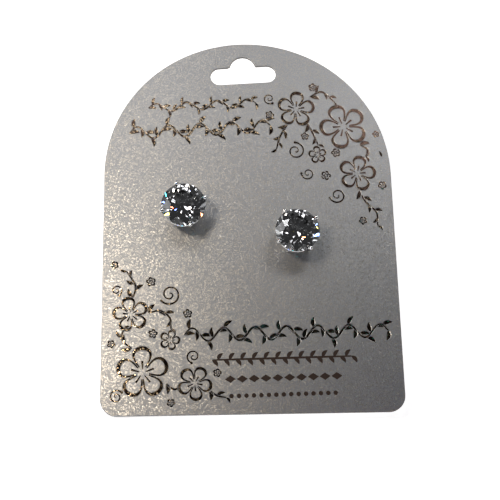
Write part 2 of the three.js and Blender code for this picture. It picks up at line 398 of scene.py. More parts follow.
def shared(tree, group, place, **settings):
    """What a shared group gives for these settings."""
    wires = {name.replace("_", " "): value for name, value in settings.items()}
    return add(tree, "ShaderNodeGroup", {"Vector": place, **wires}, node_tree=group).outputs


def add_bump(tree, shader, height, strength, depth):
    """Feeds a height to the shader as a bump of a real depth in metres."""
    bump = add(tree, "ShaderNodeBump", {"Height": height, "Strength": strength, "Distance": depth})
    tree.links.new(bump.outputs["Normal"], shader["Normal"])


# %% Materials of the card
PEARL_DARK, PEARL_LIGHT = (0.29, 0.293, 0.302, 1), (0.325, 0.328, 0.337, 1)
PEARL_FLAKE = (0.37, 0.35, 0.32, 1)
PEARL_DULL, PEARL_GLOSSY = 0.44, 0.34
BOARD_DARK, BOARD_LIGHT = (0.6, 0.59, 0.57, 1), (0.74, 0.73, 0.71, 1)
FIBRE_BUMP, FIBRE_DEPTH = 0.4, 0.00003
FOIL_DARK, FOIL_FLAKE = (0.045, 0.028, 0.022, 1), (0.34, 0.26, 0.17, 1)


def pearl_card_material():
    material, tree, shader, place = new_material("pearl card", Metallic=1.0)
    pearl = shared(tree, pearl_group, place, Flake_Size=0.00013, Tilt=0.25, Share=0.3)
    ground = blend_colours(tree, pearl["Tone"], PEARL_DARK, PEARL_LIGHT)
    gloss = {"Value": pearl["Flake"], "To Min": PEARL_DULL, "To Max": PEARL_GLOSSY}
    tree.links.new(blend_colours(tree, pearl["Flake"], ground, PEARL_FLAKE), shader["Base Color"])
    tree.links.new(add(tree, "ShaderNodeMapRange", gloss).outputs[0], shader["Roughness"])
    tree.links.new(pearl["Normal"], shader["Normal"])
    return material


def card_back_material():
    material, tree, shader, place = new_material("card back", Roughness=0.85)
    fibre = shared(tree, fibre_group, place, Fibre_Size=0.0004, Light=BOARD_LIGHT, Dark=BOARD_DARK)
    tree.links.new(fibre["Color"], shader["Base Color"])
    add_bump(tree, shader, fibre["Height"], FIBRE_BUMP, FIBRE_DEPTH)
    return material


def foil_material():
    material, tree, shader, place = new_material("bronze foil", Metallic=1.0)
    pearl = shared(tree, pearl_group, place, Flake_Size=0.00018, Tilt=0.22, Share=0.3)
    wear = shared(tree, wear_group, place, Scratch_Size=0.0005, Smoothest=0.12, Dullest=0.22)
    tree.links.new(blend_colours(tree, pearl["Flake"], FOIL_DARK, FOIL_FLAKE), shader["Base Color"])
    tree.links.new(wear["Roughness"], shader["Roughness"])
    tree.links.new(pearl["Normal"], shader["Normal"])
    return material


pearl_card = pearl_card_material()
card_back = card_back_material()
bronze_foil = foil_material()
brown_ink = new_material("brown ink", Base_Color=(0.04, 0.026, 0.02, 1), Roughness=0.7,
                         Specular_IOR_Level=0.15)[0]
card_edge = new_material("card edge", Base_Color=(0.13, 0.125, 0.12, 1), Roughness=0.8,
                         Specular_IOR_Level=0.2)[0]
print("card, foil and ink:", [m.name for m in (pearl_card, card_back, card_edge, bronze_foil, brown_ink)])

# %% Materials of the studs
METAL_BUMP = 0.3


def metal_material(name, colour, scratch_size, smoothest, dullest, bump_depth):
    """A polished metal whose gloss the shared fine wear makes uneven."""
    material, tree, shader, place = new_material(name, Base_Color=colour, Metallic=1.0)
    wear = shared(tree, wear_group, place, Scratch_Size=scratch_size, Smoothest=smoothest, Dullest=dullest)
    tree.links.new(wear["Roughness"], shader["Roughness"])
    add_bump(tree, shader, wear["Height"], METAL_BUMP, bump_depth)
    return material


silver_plate = metal_material("silver plate", (0.88, 0.88, 0.87, 1), 0.0003, 0.02, 0.06, 0.000002)
nut_metal = metal_material("nut metal", (0.83, 0.83, 0.84, 1), 0.0002, 0.12, 0.3, 0.00001)
clear_stone = new_material("clear stone", Base_Color=(0.97, 0.985, 1.0, 1), Roughness=0.0, IOR=2.16,
                           Transmission_Weight=1.0)[0]
print("metals and stone:", [m.name for m in (silver_plate, nut_metal, clear_stone)])

# %% [markdown]
# ## Turning a mesh into a finished piece
#
# A finished piece is plain: its object sits at the origin, and its place is in its mesh. One helper moves
# the mesh from the frame it was drawn in to its real place, gives it to the card's body, and hides the
# imported node it stands for.

# %% Finish a piece
def close_shape(shape, name):
    """Ends mesh code: turns every normal outward and gives the shape as a mesh."""
    bmesh.ops.recalc_face_normals(shape, faces=shape.faces)
    mesh = bpy.data.meshes.new(name)
    shape.to_mesh(mesh)
    shape.free()
    return mesh


def finish(name, mesh, matrix, stands_for=None):
    """Shows a mesh as a piece of the object."""
    mesh.transform(matrix)
    piece = bpy.data.objects.new(name, mesh)
    scene.collection.objects.link(piece)
    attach(piece, "root")
    if stands_for:
        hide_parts(stands_for)
    mesh.calc_loop_triangles()
    print(f"{name}: {len(mesh.loop_triangles)} triangles")
    return piece


# %% [markdown]
# ## The card
#
# Such a card is cut by a steel die, which presses its printed edge down a little before it cuts. So the
# outline is drawn several times: whole for the sides, and drawn in by a fraction of a millimetre as it
# rolls over onto the face. The same is done round the hanging slot and the two post holes, where drawing
# in the card makes the hole larger. The cut side shows the board's grey core.

# %% Outlines of the card and its holes
CORNER_RADIUS = 3
CORNER_STEPS = 12
ARCH_STEPS = 96
QUARTER = math.pi / 2


def arc(x, y, radius, start, end, steps):
    """Points along an arc, clockwise where it ends at a smaller angle than it starts at."""
    turns = [start + (end - start) * i / steps for i in range(steps + 1)]
    return [Vector((x + radius * math.cos(t), y + radius * math.sin(t))) for t in turns]


def card_outline(drawn_in):
    """The card's outline, drawn in from its cut edge by this much."""
    half = CARD_WIDTH / 2
    side = half - CORNER_RADIUS
    radius = CORNER_RADIUS - drawn_in
    return [
        *arc(-side, CORNER_RADIUS, radius, 2 * QUARTER, 3 * QUARTER, CORNER_STEPS),
        *arc(side, CORNER_RADIUS, radius, -QUARTER, 0, CORNER_STEPS),
        *arc(0, CARD_HEIGHT - half, half - drawn_in, 0, 2 * QUARTER, ARCH_STEPS),
    ]


# %% The hanging slot
SLOT_CENTRE_X = -0.5
SLOT_FLOOR_Y = 63.6
SLOT_LENGTH = 12.7
SLOT_ARM_HEIGHT = 3.5
SLOT_CROWN_RADIUS = 2.5
SLOT_CROWN_CENTRE = 3.1
SLOT_FILLETS = {"left": 0.8, "right": 0.2}
SLOT_TILT = math.radians(3.5)
SLOT_STEPS = 20
FILLET_STEPS = 8


def crown_fillet(fillet, drawn_in):
    """The rounded corner between an arm and the crown, on the right-hand side, and how far it leans."""
    y = SLOT_ARM_HEIGHT + fillet
    x = math.sqrt((SLOT_CROWN_RADIUS + fillet) ** 2 - (y - SLOT_CROWN_CENTRE) ** 2)
    lean = math.atan2(y - SLOT_CROWN_CENTRE, x)
    return lean, arc(x, y, fillet - drawn_in, -QUARTER, lean - math.pi, FILLET_STEPS)


def slot_outline(drawn_in):
    """The slot's outline: two arms with round ends, and a crown between them."""
    end = SLOT_ARM_HEIGHT / 2
    run = SLOT_LENGTH / 2 - end
    right_lean, right = crown_fillet(SLOT_FILLETS["right"], drawn_in)
    left_lean, left = crown_fillet(SLOT_FILLETS["left"], drawn_in)
    crown_radius = SLOT_CROWN_RADIUS + drawn_in
    crown = arc(0, SLOT_CROWN_CENTRE, crown_radius, right_lean, math.pi - left_lean, SLOT_STEPS)
    points = [
        *arc(run, end, end + drawn_in, -QUARTER, QUARTER, SLOT_STEPS),
        *right,
        *crown[1:-1],
        *[Vector((-p.x, p.y)) for p in reversed(left)],
        *arc(-run, end, end + drawn_in, QUARTER, 3 * QUARTER, SLOT_STEPS),
    ]
    tilt = Matrix.Rotation(SLOT_TILT, 2)
    return [tilt @ p + Vector((SLOT_CENTRE_X, SLOT_FLOOR_Y)) for p in points]


# %% Shape the card
POST_HOLE_RADIUS = 0.55
HOLE_STEPS = 32
FACE_ROLL = 0.1
BACK_ROLL = 0.03
ROLL_STEPS = 5
MATERIALS_OF_CARD = {"face": pearl_card, "back": card_back, "edge": card_edge}


def roll_profile():
    """(drawn in, height) from the printed face round to the back."""
    turns = [i / ROLL_STEPS * QUARTER for i in range(ROLL_STEPS + 1)]
    face = [(FACE_ROLL * (1 - math.sin(t)), CARD_THICKNESS - FACE_ROLL * (1 - math.cos(t))) for t in turns]
    return [*face, (0, BACK_ROLL), (BACK_ROLL, 0)]


def post_hole(side):
    """The outline of one post's hole, as a function of how far it is drawn in."""
    x, y = stud_places[side].xy
    return lambda drawn_in: arc(x, y, POST_HOLE_RADIUS + drawn_in, 0, 4 * QUARTER, HOLE_STEPS)[:-1]


def card_mesh():
    """Rings of every outline, joined into rolled edges and sides, then the face and the back filled in."""
    shape = bmesh.new()
    order = {name: number for number, name in enumerate(MATERIALS_OF_CARD)}
    rims = {"face": [], "back": []}
    profile = roll_profile()
    for outline in (card_outline, slot_outline, *[post_hole(side) for side in SIDES]):
        rings = [[shape.verts.new((*p, height)) for p in outline(drawn_in)] for drawn_in, height in profile]
        for step, (upper, lower) in enumerate(zip(rings, rings[1:])):
            for i in range(len(upper)):
                face = shape.faces.new((upper[i - 1], lower[i - 1], lower[i], upper[i]))
                face.smooth = True
                face.material_index = order["face" if step < ROLL_STEPS else "edge"]
        for name, ring in (("face", rings[0]), ("back", rings[-1])):
            rims[name] += [shape.edges.get((ring[i - 1], ring[i])) for i in range(len(ring))]
    for name, edges in rims.items():
        filled = bmesh.ops.triangle_fill(shape, edges=edges, use_beauty=True)
        for face in filled["geom"]:
            if isinstance(face, bmesh.types.BMFace):
                face.material_index = order[name]
    return close_shape(shape, "card")


mesh = card_mesh()
for material in MATERIALS_OF_CARD.values():
    mesh.materials.append(material)
finish("card", mesh, card_to_row, "display_card")

# %% [markdown]
# ## The stones
#
# A cutter starts from a round blank and grinds one flat facet after another. The same is done here: a
# fine cylinder is cut by each facet's plane, and each cut is closed by a flat face. The blank's round
# side that no plane reaches is the girdle. A round brilliant has a table, 8 stars, 8 mains and 16 girdle
# facets above, and 16 girdle facets and 8 mains below.

# %% The planes of a round brilliant
STONE_RADIUS = 4
TABLE_SHARE = 0.57
CROWN_SLOPE = math.tan(math.radians(34.5))
PAVILION_SLOPE = math.tan(math.radians(40.75))
GIRDLE_THICKNESS = 0.2
STAR_REACH = 0.5
LOWER_HALF_REACH = 0.76
STONE_MAINS = 8


def polar(radius, angle, height):
    """A point at a height, by its distance and angle from the axis."""
    return Vector((radius * math.cos(angle), radius * math.sin(angle), height))


def crown_height(out):
    """How high the crown's main facets are, this far out from the axis."""
    return GIRDLE_THICKNESS / 2 + (STONE_RADIUS - out) * CROWN_SLOPE


def pavilion_height(out):
    """How high the pavilion's main facets are, this far out from the axis."""
    return -GIRDLE_THICKNESS / 2 - (STONE_RADIUS - out) * PAVILION_SLOPE


def facet_planes():
    """Three points on the plane of each facet."""
    step = 2 * math.pi / STONE_MAINS
    across = math.cos(step / 2)
    table = TABLE_SHARE * STONE_RADIUS
    star = (table * across + STONE_RADIUS) * STAR_REACH
    lower = STONE_RADIUS * (1 - LOWER_HALF_REACH)
    rim = GIRDLE_THICKNESS / 2
    top = crown_height(table)
    planes = [[polar(table, k * step, top) for k in range(3)]]
    for k in range(STONE_MAINS):
        main, between, after = (k * step, (k + 0.5) * step, (k + 1) * step)
        star_tip = polar(star, between, crown_height(star * across))
        low_tip = polar(lower, between, pavilion_height(lower * across))
        high = [polar(STONE_RADIUS, angle, rim) for angle in (main, between, after)]
        low = [polar(STONE_RADIUS, angle, -rim) for angle in (main, between, after)]
        planes += [
            [polar(table, main, top), polar(table, after, top), star_tip],
            [polar(table, main, top), high[0], star_tip],
            [star_tip, high[0], high[1]],
            [star_tip, high[1], high[2]],
            [polar(0, 0, pavilion_height(0)), low[0], low_tip],
            [low_tip, low[0], low[1]],
            [low_tip, low[1], low[2]],
        ]
    return planes


# %% Cut the stone
GIRDLE_SIDES = 128
CUT_TOLERANCE = 1e-6


def cut_away(shape, points):
    """Cuts off what lies outside the plane through three points, and closes the cut with a flat face."""
    normal = (points[1] - points[0]).cross(points[2] - points[0]).normalized()
    if normal.dot(points[0]) < 0:
        normal.negate()
    everything = [*shape.verts, *shape.edges, *shape.faces]
    cut = bmesh.ops.bisect_plane(shape, geom=everything, plane_co=points[0], plane_no=normal,
                                 dist=CUT_TOLERANCE, clear_outer=True)
    rim = [e for e in cut["geom_cut"] if isinstance(e, bmesh.types.BMEdge)]
    bmesh.ops.contextual_create(shape, geom=rim)


def brilliant_mesh():
    """A tall blank, cut by every facet's plane."""
    shape = bmesh.new()
    bmesh.ops.create_cone(shape, cap_ends=True, segments=GIRDLE_SIDES, radius1=STONE_RADIUS,
                          radius2=STONE_RADIUS, depth=2 * STONE_RADIUS)
    for points in facet_planes():
        cut_away(shape, points)
    return close_shape(shape, "brilliant")


brilliant = brilliant_mesh()
print("faces of the stone:", len(brilliant.polygons), "of which girdle:", GIRDLE_SIDES)

# %% Set both stones
GIRDLE_ABOVE_FACE = 4.9
STONE_TURNS = {"left": math.radians(8), "right": math.radians(-5)}
stud_to_row = {side: card_to_row @ Matrix.Translation(stud_places[side]) for side in SIDES}
stone_place = {
    side: Matrix.Translation((0, 0, GIRDLE_ABOVE_FACE)) @ Matrix.Rotation(STONE_TURNS[side], 4, "Z")
    for side in SIDES
}
for side in SIDES:
    mesh = brilliant.copy()
    mesh.materials.append(clear_stone)
    finish(f"{side}_brilliant", mesh, stud_to_row[side] @ stone_place[side], f"{side}_stone")

# %% [markdown]
# ## The settings
#
# A basket setting is bent from round wire and soldered: four claws rise from a foot, two rails tie them,
# and each claw ends in a round bead that was pushed over the stone. One claw is drawn as a curve, and
# Geometry Nodes give it thickness, repeat it round the post, add the rails, solder all of it into one
# body and notch the claws where the stone's edge sits. The cutter is the stone itself, a little enlarged.

# %% Turn the post and its foot
FOOT_RADIUS = 1.45
FOOT_THICKNESS = 0.5
FOOT_GAP = 0.05
FOOT_ROUND = 0.12
POST_RADIUS = 0.43
POST_REACH = 10
GROOVE_FROM_TIP = 2
GROOVE_LENGTH = 0.6
GROOVE_DEPTH = 0.08
GROOVE_STEPS = 8
TIP_STEPS = 8
FOOT_STEPS = 4
LATHE_SIDES = 48


def post_profile():
    """(radius, height) points from the round tip behind the card up to the top of the foot."""
    tip = -CARD_THICKNESS - POST_REACH
    middle = tip + GROOVE_FROM_TIP + GROOVE_LENGTH / 2
    top = FOOT_GAP + FOOT_THICKNESS
    groove = []
    for i in range(GROOVE_STEPS + 1):
        t = 2 * i / GROOVE_STEPS - 1
        depth = GROOVE_DEPTH * (0.5 + 0.5 * math.cos(math.pi * t))
        groove.append((POST_RADIUS - depth, middle + t * GROOVE_LENGTH / 2))
    foot = FOOT_RADIUS - FOOT_ROUND
    return [
        *arc(0, tip + POST_RADIUS, POST_RADIUS, -QUARTER, 0, TIP_STEPS),
        *groove,
        (POST_RADIUS, FOOT_GAP),
        *arc(foot, FOOT_GAP + FOOT_ROUND, FOOT_ROUND, -QUARTER, 0, FOOT_STEPS),
        *arc(foot, top - FOOT_ROUND, FOOT_ROUND, 0, QUARTER, FOOT_STEPS),
        (0, top),
    ]


def turn_on_lathe(name, profile):
    """A closed round body from a profile that starts and ends on the axis."""
    shape = bmesh.new()
    ends = [shape.verts.new((0, 0, height)) for _, height in (profile[0], profile[-1])]
    turns = [2 * math.pi * i / LATHE_SIDES for i in range(LATHE_SIDES)]
    rings = [[shape.verts.new(polar(radius, t, height)) for t in turns] for radius, height in profile[1:-1]]
    for i in range(LATHE_SIDES):
        shape.faces.new((ends[0], rings[0][i], rings[0][i - 1]))
        shape.faces.new((ends[1], rings[-1][i - 1], rings[-1][i]))
        for lower, upper in zip(rings, rings[1:]):
            shape.faces.new((lower[i - 1], lower[i], upper[i], upper[i - 1]))
    return close_shape(shape, name)


def helper_object(name, data):
    """An object that only a node tree reads. It is taken out of the scene again."""
    thing = bpy.data.objects.new(name, data)
    scene.collection.objects.link(thing)
    return thing


post_and_foot = helper_object("post and foot", turn_on_lathe("post and foot", post_profile()))

# %% Bend one claw
CLAW_BEND = [
    {"out": 0.7, "up": 0.35},
    {"out": 1.55, "up": 0.6},
    {"out": 2.35, "up": 1.3},
    {"out": 3.2, "up": 2.9},
    {"out": 3.9, "up": 4.4},
    {"out": 4.15, "up": 5.3},
]
BEND_RESOLUTION = 8


def claw_curve():
    """One claw's middle line, from under the foot out and up to the bead."""
    curve = bpy.data.curves.new("claw", "CURVE")
    curve.dimensions = "3D"
    curve.resolution_u = BEND_RESOLUTION
    spline = curve.splines.new("BEZIER")
    spline.bezier_points.add(len(CLAW_BEND) - 1)
    for point, bend in zip(spline.bezier_points, CLAW_BEND):
        point.co = (bend["out"], 0, bend["up"])
        point.handle_left_type = point.handle_right_type = "AUTO"
    return curve


claw = helper_object("claw", claw_curve())

# %% Small steps that the geometry trees share
WIRE_SIDES = 24
RAIL_STEPS = 96
BEAD_SIDES, BEAD_RINGS = 32, 20
SHARP_FROM = math.radians(32)


def shape_of(tree, helper):
    """The shape of a helper object, which a socket names."""
    return add(tree, "GeometryNodeObjectInfo", {"Object": helper}).outputs["Geometry"]


def realize(tree, shape):
    return add(tree, "GeometryNodeRealizeInstances", {"Geometry": shape}).outputs[0]


def turn_about_z(tree, angle):
    upright = add(tree, "ShaderNodeCombineXYZ", {"Z": angle}).outputs[0]
    return add(tree, "FunctionNodeEulerToRotation", {0: upright}).outputs[0]


def store(tree, shape, name, value):
    """Keeps a value under a name on every point of a shape."""
    wires = {"Geometry": shape, "Name": name, "Value": value}
    return add(tree, "GeometryNodeStoreNamedAttribute", wires).outputs[0]


def recall(tree, name):
    return add(tree, "GeometryNodeInputNamedAttribute", {"Name": name}).outputs["Attribute"]


def set_pen(tree, strokes, factor):
    """Multiplies the pen width at every point of the strokes."""
    pen = calculate(tree, "MULTIPLY", tree.nodes.new("GeometryNodeInputRadius").outputs[0], factor)
    return add(tree, "GeometryNodeSetCurveRadius", {"Curve": strokes, "Radius": pen}).outputs[0]


def place_copies(tree, points, motif, turn, size=(1, 1, 1)):
    """A copy of a motif on every point."""
    wires = {"Points": points, "Instance": motif, "Rotation": turn, "Scale": size}
    return add(tree, "GeometryNodeInstanceOnPoints", wires).outputs[0]


def solid_boolean(tree, operation, *solids):
    """Joins solids, or cuts the later ones out of the first, into one closed body."""
    node = add(tree, "GeometryNodeMeshBoolean", operation=operation, solver="EXACT")
    others = list(solids)
    if operation == "DIFFERENCE":
        tree.links.new(others.pop(0), node.inputs[0])
    for solid in others:
        tree.links.new(solid, node.inputs[1])
    return node.outputs[0]


def dress_metal(tree, body, metal):
    """Smooth faces that meet in crisp edges where they bend sharply, all in one metal."""
    smooth = add(tree, "GeometryNodeSetShadeSmooth", {"Geometry": body}).outputs[0]
    bend = tree.nodes.new("GeometryNodeInputMeshEdgeAngle").outputs["Unsigned Angle"]
    crisp = {"Selection": calculate(tree, "GREATER_THAN", bend, SHARP_FROM), "Shade Smooth": False}
    edged = add(tree, "GeometryNodeSetShadeSmooth", {"Geometry": smooth, **crisp}, domain="EDGE").outputs[0]
    whole = realize(tree, edged)
    return add(tree, "GeometryNodeSetMaterial", {"Geometry": whole, "Material": metal}).outputs[0]


# %% The tree that solders a setting
def setting_nodes():
    tree, given, result = new_group(
        "Claw setting", "GeometryNodeTree",
        {"Claw": "Geometry", "Claws": 4, "Claw Turn": 0.0, "Claw Wire": 0.42, "Bead": 0.42, "Rail Wire": 0.36,
         "Lower Rail": 2.32, "Lower Rail Height": 1.25, "Upper Rail": 3.42, "Upper Rail Height": 3.35,
         "Post": "Object", "Seat": "Object", "Metal": "Material"},
        {"Setting": "Geometry"},
    )

    def circle(steps, radius):
        wires = {"Resolution": steps, "Radius": radius}
        return add(tree, "GeometryNodeCurvePrimitiveCircle", wires).outputs[0]

    def wire(path, radius):
        wires = {"Curve": path, "Profile Curve": circle(WIRE_SIDES, radius), "Fill Caps": True}
        return add(tree, "GeometryNodeCurveToMesh", wires).outputs[0]

    def rail(name):
        shape = wire(circle(RAIL_STEPS, given[name]), given["Rail Wire"])
        height = add(tree, "ShaderNodeCombineXYZ", {"Z": given[name + " Height"]}).outputs[0]
        return add(tree, "GeometryNodeTransform", {"Geometry": shape, "Translation": height}).outputs[0]

    tip = add(tree, "GeometryNodeSampleCurve", {"Curves": given["Claw"], "Factor": 1.0}).outputs["Position"]
    rounds = {"Segments": BEAD_SIDES, "Rings": BEAD_RINGS, "Radius": given["Bead"]}
    ball = add(tree, "GeometryNodeMeshUVSphere", rounds)
    bead = add(tree, "GeometryNodeTransform", {"Geometry": ball.outputs[0], "Translation": tip}).outputs[0]
    one_claw = solid_boolean(tree, "UNION", wire(given["Claw"], given["Claw Wire"]), bead)

    axis = add(tree, "GeometryNodeMeshLine", {"Count": given["Claws"], "Offset": (0, 0, 0)})
    number = calculate(tree, "ADD", tree.nodes.new("GeometryNodeInputIndex").outputs[0], 0.5)
    share = calculate(tree, "DIVIDE", number, given["Claws"])
    angle = calculate(tree, "ADD", calculate(tree, "MULTIPLY", share, 2 * math.pi), given["Claw Turn"])
    claws = place_copies(tree, axis.outputs[0], one_claw, turn_about_z(tree, angle))

    parts = [claws, rail("Lower Rail"), rail("Upper Rail"), shape_of(tree, given["Post"])]
    body = solid_boolean(tree, "UNION", *parts)
    notched = solid_boolean(tree, "DIFFERENCE", body, shape_of(tree, given["Seat"]))
    tree.links.new(dress_metal(tree, notched, given["Metal"]), result["Setting"])
    return tree


setting_tree = setting_nodes()

# %% Run a tree once
def run_nodes(tree, data, **sizes):
    """Puts a tree on an object with this data, evaluates it once, and returns the result as a plain mesh."""
    holder = helper_object("holder", data)
    modifier = holder.modifiers.new("nodes", "NODES")
    modifier.node_group = tree
    sockets = {s.name: s.identifier for s in tree.interface.items_tree if s.item_type == "SOCKET"}
    for name, value in sizes.items():
        modifier[sockets[name.replace("_", " ")]] = value
    evaluated = holder.evaluated_get(bpy.context.evaluated_depsgraph_get())
    mesh = bpy.data.meshes.new_from_object(evaluated)
    bpy.data.objects.remove(holder)
    return mesh


# %% Solder both settings
CLAW_TURNS = {"left": math.radians(-27.5), "right": math.radians(-12.4)}
SEAT_SCALE = 1.02
for side in SIDES:
    seat_mesh = brilliant.copy()
    seat_mesh.transform(stone_place[side] @ Matrix.Scale(SEAT_SCALE, 4))
    seat = helper_object("seat", seat_mesh)
    mesh = run_nodes(setting_tree, claw.data, Claw_Turn=CLAW_TURNS[side], Post=post_and_foot, Seat=seat,
                     Metal=silver_plate)
    finish(f"{side}_claw_setting", mesh, stud_to_row[side], f"{side}_setting")
    bpy.data.objects.remove(seat)
for helper in (claw, post_and_foot):
    bpy.data.objects.remove(helper)

# %% [markdown]
# ## The ear nuts
#
# A butterfly nut is one strip of thin metal, pierced in the middle and curled back at both ends, so that
# the curls grip the post. A section with rounded edges is carried along the strip's middle line, and its
# width follows an oval, because the strip is stamped from one.

# %% Curl the strip
NUT_STRIP = 0.3
NUT_GAP = 0.08
NUT_LOOP_RADIUS = 1
NUT_LOOP_SWEEP = math.radians(270)
NUT_LOOP_STEPS = 40
NUT_HALF_LENGTH = 3.1
NUT_HALF_WIDTH = 1.95
NUT_HOLE_RADIUS = 0.5
NUT_EDGE_ROUND = 0.1
NUT_EDGE_STEPS = 4
NUT_PLATE_STOPS = (-0.9, -0.3, 0.3, 0.9)


def strip_path():
    """The strip's middle line seen from its side, from one curled end to the other."""
    centre = POST_RADIUS + NUT_GAP + NUT_STRIP / 2 + NUT_LOOP_RADIUS
    right = arc(centre, 0, NUT_LOOP_RADIUS, QUARTER, QUARTER - NUT_LOOP_SWEEP, NUT_LOOP_STEPS)
    plate = [Vector((x, NUT_LOOP_RADIUS)) for x in NUT_PLATE_STOPS]
    left = [Vector((-p.x, p.y)) for p in reversed(right)]
    return [*left, *plate, *right]


def strip_section(half_width):
    """The strip's section: (across, through) points round a flat bar with rounded edges."""
    through = NUT_STRIP / 2 - NUT_EDGE_ROUND
    across = half_width - NUT_EDGE_ROUND
    corners = [(across, through, 0), (-across, through, 1), (-across, -through, 2), (across, -through, 3)]
    section = []
    for x, y, k in corners:
        section += arc(x, y, NUT_EDGE_ROUND, k * QUARTER, (k + 1) * QUARTER, NUT_EDGE_STEPS)
    return section


def nut_mesh():
    """The strip's section at each point of its path, joined from one curled end to the other."""
    shape = bmesh.new()
    path = strip_path()
    rings = []
    for i, point in enumerate(path):
        along = (path[min(i + 1, len(path) - 1)] - path[max(i - 1, 0)]).normalized()
        outward = Vector((-along.y, along.x))
        width = NUT_HALF_WIDTH * math.sqrt(1 - (point.x / NUT_HALF_LENGTH) ** 2)
        rings.append([
            shape.verts.new((point.x + outward.x * through, across, point.y + outward.y * through))
            for across, through in strip_section(width)
        ])
    for ring, following in zip(rings, rings[1:]):
        for i in range(len(ring)):
            shape.faces.new((ring[i - 1], ring[i], following[i], following[i - 1]))
    shape.faces.new(rings[0])
    shape.faces.new(rings[-1])
    return close_shape(shape, "nut")


# %% Pierce the strip
HOLE_FLARE = 0.1
FLARE_STEPS = 4


def hole_cutter():
    """A punch that flares at both faces of the strip, so the hole's edges are rounded."""
    wide, half = NUT_HOLE_RADIUS + HOLE_FLARE, NUT_STRIP / 2
    flare = arc(wide, half - HOLE_FLARE, HOLE_FLARE, 2 * QUARTER, QUARTER, FLARE_STEPS)
    up = [*flare, (wide, 2 * half), (0, 2 * half)]
    down = [(r, -z) for r, z in reversed(up)]
    return turn_on_lathe("punch", [*down, *up])


def punch_nodes():
    tree, given, result = new_group(
        "Punched strip", "GeometryNodeTree",
        {"Strip": "Geometry", "Punch": "Object", "Metal": "Material"},
        {"Nut": "Geometry"},
    )
    pierced = solid_boolean(tree, "DIFFERENCE", given["Strip"], shape_of(tree, given["Punch"]))
    tree.links.new(dress_metal(tree, pierced, given["Metal"]), result["Nut"])
    return tree


punch = helper_object("punch", hole_cutter())
punch.data.transform(Matrix.Translation((0, 0, NUT_LOOP_RADIUS)))
punched = run_nodes(punch_nodes(), nut_mesh(), Punch=punch, Metal=nut_metal)
bpy.data.objects.remove(punch)
nut_drop = CARD_THICKNESS + NUT_GAP + NUT_LOOP_RADIUS + NUT_STRIP / 2
for side in SIDES:
    place = stud_to_row[side] @ Matrix.Translation((0, 0, -nut_drop))
    finish(f"{side}_butterfly_nut", punched.copy(), place, f"{side}_ear_nut")

# %% [markdown]
# ## The foil ornament
#
# Hot foil is stamped with an engraved die, so each line is a shallow groove: dark bronze on its floor, and
# pearl on its sloping shoulders, of which the one that faces the lamp is bright. The same few steps make
# every line. A stroke is a path with a pen width at each point. Nodes carry one small section along it,
# as wide as the pen, and give the section's floor and shoulders their own materials. The small lines at
# the card's foot are printed in brown ink and not stamped, so they have a section of their own, which is
# flat and very thin.

# %% The section of a stamped line
SHOULDER_FROM = 0.38
LIP = 0.06
GROOVE_FLOOR = 0.012
SINK = 0.02


def pen_paths(name, strokes, closed=False):
    """Strokes as a curve object for the nodes to read. A stroke is a list of (x, y, pen width) points."""
    curve = bpy.data.curves.new(name, "CURVE")
    curve.dimensions = "3D"
    for stroke in strokes:
        spline = curve.splines.new("POLY")
        spline.use_cyclic_u = closed
        spline.points.add(len(stroke) - 1)
        for point, (x, y, pen) in zip(spline.points, stroke):
            point.co = (x, y, 0, 1)
            point.radius = pen
    return helper_object(name, curve)


def section_points():
    """Half the section, from its foot up over the lip and down to the floor, then the other half.

    The nodes carry it upside down, so what stands above the card is negative here.
    """
    half = [(-0.5, SINK), (-0.5, -LIP), (-SHOULDER_FROM, -GROOVE_FLOOR)]
    return [(x, y, 1) for x, y in half] + [(-x, y, 1) for x, y in reversed(half)]


INK_FILM = 0.008
ink_points = [(-0.5, SINK, 1), (-0.5, -INK_FILM, 1), (0.5, -INK_FILM, 1), (0.5, SINK, 1)]
line_section = pen_paths("line section", [section_points()], closed=True)
ink_section = pen_paths("ink section", [ink_points], closed=True)

# %% The tree that stamps a line
FLOOR_REACH = (SHOULDER_FROM + 0.5) / 2 - 0.01
STAMP_INPUTS = {"Section": "Object", "Foil": "Material", "Pearl": "Material"}


def stamp_nodes():
    tree, given, result = new_group(
        "Stamp lines", "GeometryNodeTree",
        {"Strokes": "Geometry", **STAMP_INPUTS},
        {"Lines": "Geometry"},
    )
    place = tree.nodes.new("GeometryNodeInputPosition").outputs[0]
    sideways = add(tree, "ShaderNodeSeparateXYZ", {0: place}).outputs["X"]
    section = store(tree, shape_of(tree, given["Section"]), "across", calculate(tree, "ABSOLUTE", sideways))
    level = add(tree, "GeometryNodeSetCurveNormal", {"Curve": given["Strokes"]}, mode="Z_UP").outputs[0]
    pen = tree.nodes.new("GeometryNodeInputRadius").outputs[0]
    swept = add(tree, "GeometryNodeCurveToMesh", {"Curve": level, "Profile Curve": section, "Scale": pen,
                                                  "Fill Caps": True}).outputs[0]
    on_floor = calculate(tree, "LESS_THAN", recall(tree, "across"), FLOOR_REACH)
    flat = add(tree, "GeometryNodeSetShadeSmooth", {"Geometry": swept, "Shade Smooth": False}).outputs[0]
    pearled = add(tree, "GeometryNodeSetMaterial", {"Geometry": flat, "Material": given["Pearl"]}).outputs[0]
    foiled = add(tree, "GeometryNodeSetMaterial", {"Geometry": pearled, "Selection": on_floor,
                                                   "Material": given["Foil"]}).outputs[0]
    tree.links.new(foiled, result["Lines"])
    return tree


stamp_tree = stamp_nodes()

# %% [markdown]
# ## Sprays, blossoms and rules
#
# The ornament is a few motifs repeated: leaves alternate along a stem, petals and stamens stand round a
# blossom, and dots run in a row. Each motif is drawn once, and Geometry Nodes repeat it: along a path,
# turned to the path's direction, or round a centre.

# %% Motifs, each drawn once
def swell(share, power=1.0):
    """A pen's pressure along a stroke: nothing at both ends and full in the middle."""
    return max(0.0, math.sin(math.pi * share)) ** power


def shares(steps):
    return [i / steps for i in range(steps + 1)]


